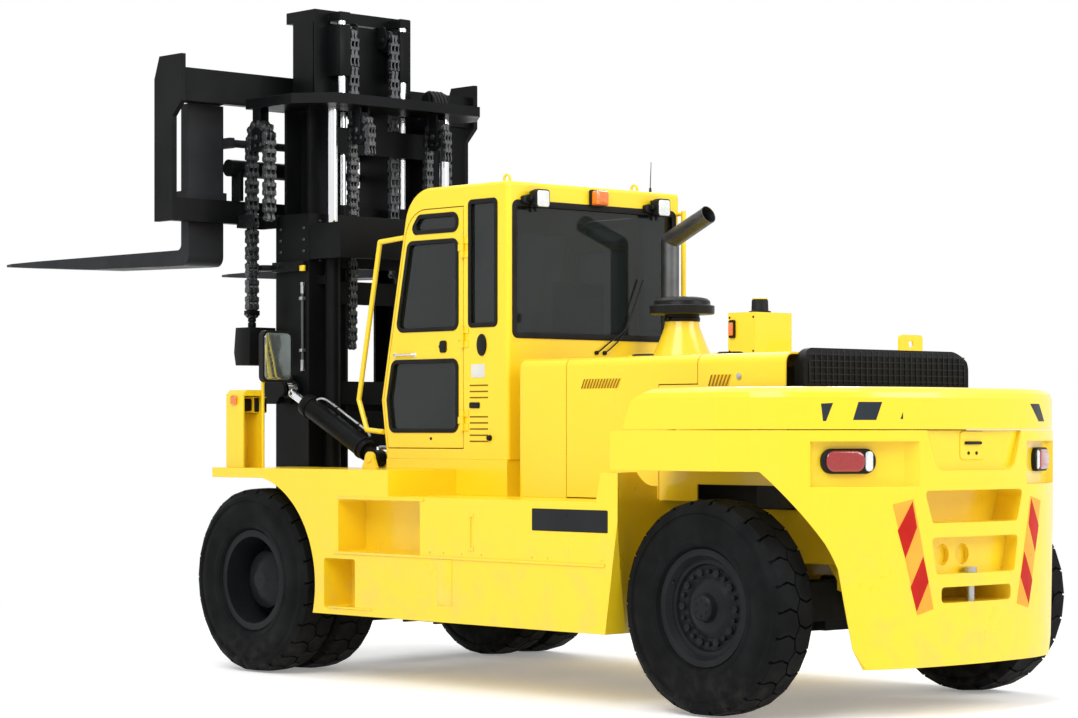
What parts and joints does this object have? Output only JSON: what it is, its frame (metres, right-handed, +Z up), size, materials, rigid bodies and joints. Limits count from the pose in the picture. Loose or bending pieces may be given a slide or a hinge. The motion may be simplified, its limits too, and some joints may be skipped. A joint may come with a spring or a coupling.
{
  "type": "heavy counterbalanced forklift truck",
  "caption": "Heavy diesel counterbalanced forklift with twin front tyres, enclosed cab, raised three-stage mast and forks, yellow body and black mast.",
  "frame": {"origin": "centre of the footprint on the ground, midway between the fork tips and the counterweight's rear", "axes": "+Z up, -Y towards the forks, +X towards the machine's left side"},
  "size_m": [2.7342, 8.47, 4.5798],
  "materials": {
    "yellow_paint": "gloss",
    "black_paint": "satin",
    "tyre_rubber": "matte",
    "wheel_paint": "satin",
    "axle_paint": "satin",
    "cast_yellow": "painted gloss",
    "chrome_rod": "polished",
    "tinted_glass": "tinted",
    "black_plastic": "matte",
    "seat_cloth": "woven",
    "engine_paint": "painted satin",
    "exhaust_steel": "dull",
    "lamp_lens": "clear",
    "pin_steel": "plain",
    "fork_steel": "black oxide"
  },
  "bodies": {
    "chassis": {"main_frame": "yellow_paint", "front_axle": "axle_paint", "steer_axle": "axle_paint", "side_box_left": "yellow_paint", "side_box_right": "yellow_paint", "tilt_brackets": "yellow_paint", "counterweight": "cast_yellow", "tow_pin": "pin_steel", "engine_hood": "yellow_paint", "engine": "engine_paint", "radiator": "engine_paint", "radiator_grille": "black_paint", "exhaust_stack": "exhaust_steel", "air_precleaner": "black_plastic", "hood_case": "yellow_paint", "cab_shell": "yellow_paint", "cab_glass": "tinted_glass", "cab_base": "yellow_paint", "cab_controls": "black_plastic", "seat_cushion": "seat_cloth", "seat_back": "seat_cloth", "lamp_posts": "yellow_paint", "mirrors": "black_plastic", "handrails": "yellow_paint", "lamps": "lamp_lens"},
    "front_wheels_left": {"front_rim_left": "wheel_paint", "front_tyre_left_outer": "tyre_rubber", "front_tyre_left_inner": "tyre_rubber"},
    "knuckle_left": {"knuckle_left": "axle_paint"},
    "rear_wheel_left": {"rear_tyre_left": "tyre_rubber", "rear_rim_left": "wheel_paint"},
    "front_wheels_right": {"front_rim_right": "wheel_paint", "front_tyre_right_outer": "tyre_rubber", "front_tyre_right_inner": "tyre_rubber"},
    "knuckle_right": {"knuckle_right": "axle_paint"},
    "rear_wheel_right": {"rear_tyre_right": "tyre_rubber", "rear_rim_right": "wheel_paint"},
    "steer_rod": {"steer_rod": "chrome_rod"},
    "rear_hood": {"rear_hood": "yellow_paint"},
    "engine_door_left": {"engine_door_left": "yellow_paint"},
    "cab_door_left": {"cab_door_left": "yellow_paint", "door_glass_left": "tinted_glass"},
    "engine_door_right": {"engine_door_right": "yellow_paint"},
    "cab_door_right": {"cab_door_right": "yellow_paint", "door_glass_right": "tinted_glass"},
    "mast_outer": {"mast_outer": "black_paint", "lift_barrels": "black_paint"},
    "mast_middle": {"mast_middle": "black_paint", "lift_rods": "chrome_rod", "mast_sheaves": "black_paint", "ram_barrels": "black_paint"},
    "mast_inner": {"mast_inner": "black_paint", "ram_rods": "chrome_rod"},
    "carriage": {"carriage": "black_paint"},
    "fork_left": {"fork_left": "fork_steel"},
    "tilt_barrel_left": {"tilt_barrel_left": "black_paint"},
    "tilt_rod_left": {"tilt_rod_left": "chrome_rod"},
    "fork_right": {"fork_right": "fork_steel"},
    "tilt_barrel_right": {"tilt_barrel_right": "black_paint"},
    "tilt_rod_right": {"tilt_rod_right": "chrome_rod"}
  },
  "joints": [
    {"name": "front_wheels_left_turn", "type": "hinge", "parent": "chassis", "child": "front_wheels_left", "pos_m": [1.0285, -0.825, 0.615], "axis": [1, 0, 0], "continuous": true},
    {"name": "steer_left", "type": "hinge", "parent": "chassis", "child": "knuckle_left", "pos_m": [0.88, 3.285, 0.615], "axis": [0, 0, 1], "range_deg": [-45, 45]},
    {"name": "rear_wheel_left_turn", "type": "hinge", "parent": "knuckle_left", "child": "rear_wheel_left", "pos_m": [1.149, 3.285, 0.615], "axis": [1, 0, 0], "continuous": true},
    {"name": "front_wheels_right_turn", "type": "hinge", "parent": "chassis", "child": "front_wheels_right", "pos_m": [-1.0285, -0.825, 0.615], "axis": [1, 0, 0], "continuous": true},
    {"name": "steer_right", "type": "hinge", "parent": "chassis", "child": "knuckle_right", "pos_m": [-0.88, 3.285, 0.615], "axis": [0, 0, 1], "range_deg": [-45, 45]},
    {"name": "rear_wheel_right_turn", "type": "hinge", "parent": "knuckle_right", "child": "rear_wheel_right", "pos_m": [-1.149, 3.285, 0.615], "axis": [1, 0, 0], "continuous": true},
    {"name": "steer_rod_slide", "type": "slide", "parent": "chassis", "child": "steer_rod", "axis": [1, 0, 0], "range_m": [-0.17, 0.17]},
    {"name": "rear_hood_lift", "type": "hinge", "parent": "chassis", "child": "rear_hood", "pos_m": [0, 2.69, 1.645], "axis": [1, 0, 0], "range_deg": [0, 60]},
    {"name": "engine_door_left_lift", "type": "hinge", "parent": "chassis", "child": "engine_door_left", "pos_m": [0.423, 2.25, 2.075], "axis": [0, -1, 0], "range_deg": [0, 70]},
    {"name": "cab_door_left_swing", "type": "hinge", "parent": "chassis", "child": "cab_door_left", "pos_m": [0.793, 0.691, 2.28], "axis": [0, 0, 1], "range_deg": [0, 105]},
    {"name": "engine_door_right_lift", "type": "hinge", "parent": "chassis", "child": "engine_door_right", "pos_m": [-0.423, 2.25, 2.075], "axis": [0, 1, 0], "range_deg": [0, 70]},
    {"name": "cab_door_right_swing", "type": "hinge", "parent": "chassis", "child": "cab_door_right", "pos_m": [-0.793, 0.691, 2.28], "axis": [0, 0, -1], "range_deg": [0, 105]},
    {"name": "mast_tilt", "type": "hinge", "parent": "chassis", "child": "mast_outer", "pos_m": [0, -0.825, 0.615], "axis": [-1, 0, 0], "range_deg": [-6, 10]},
    {"name": "mast_middle_lift", "type": "slide", "parent": "mast_outer", "child": "mast_middle", "axis": [0, 0, 1], "range_m": [-0.73, 1.15]},
    {"name": "mast_inner_lift", "type": "slide", "parent": "mast_middle", "child": "mast_inner", "axis": [0, 0, 1], "range_m": [-0.73, 1.15]},
    {"name": "carriage_lift", "type": "slide", "parent": "mast_inner", "child": "carriage", "axis": [0, 0, 1], "range_m": [-1.26, 0.4]},
    {"name": "fork_left_shift", "type": "slide", "parent": "carriage", "child": "fork_left", "axis": [1, 0, 0], "range_m": [-0.75, 0.13]},
    {"name": "tilt_barrel_left_swing", "type": "hinge", "parent": "chassis", "child": "tilt_barrel_left", "pos_m": [0.75, -0.215, 1.43], "axis": [-1, 0, 0], "range_deg": [-6, 10]},
    {"name": "tilt_rod_left_slide", "type": "slide", "parent": "tilt_barrel_left", "child": "tilt_rod_left", "axis": [0, -0.8999, 0.436], "range_m": [-0.18, 0.12]},
    {"name": "fork_right_shift", "type": "slide", "parent": "carriage", "child": "fork_right", "axis": [-1, 0, 0], "range_m": [-0.75, 0.13]},
    {"name": "tilt_barrel_right_swing", "type": "hinge", "parent": "chassis", "child": "tilt_barrel_right", "pos_m": [-0.75, -0.215, 1.43], "axis": [-1, 0, 0], "range_deg": [-6, 10]},
    {"name": "tilt_rod_right_slide", "type": "slide", "parent": "tilt_barrel_right", "child": "tilt_rod_right", "axis": [0, -0.8999, 0.436], "range_m": [-0.18, 0.12]}
  ],
  "couplings": [
    {"joint": "steer_right", "follows": "steer_left", "ratio": 1},
    {"joint": "steer_rod_slide", "follows": "steer_left", "m_per_rad": 0.208},
    {"joint": "mast_inner_lift", "follows": "mast_middle_lift", "ratio": 1},
    {"joint": "tilt_barrel_left_swing", "follows": "mast_tilt", "ratio": 0.8439},
    {"joint": "tilt_rod_left_slide", "follows": "mast_tilt", "m_per_rad": -1.0019},
    {"joint": "tilt_barrel_right_swing", "follows": "mast_tilt", "ratio": 0.8439},
    {"joint": "tilt_rod_right_slide", "follows": "mast_tilt", "m_per_rad": -1.0019}
  ]
}
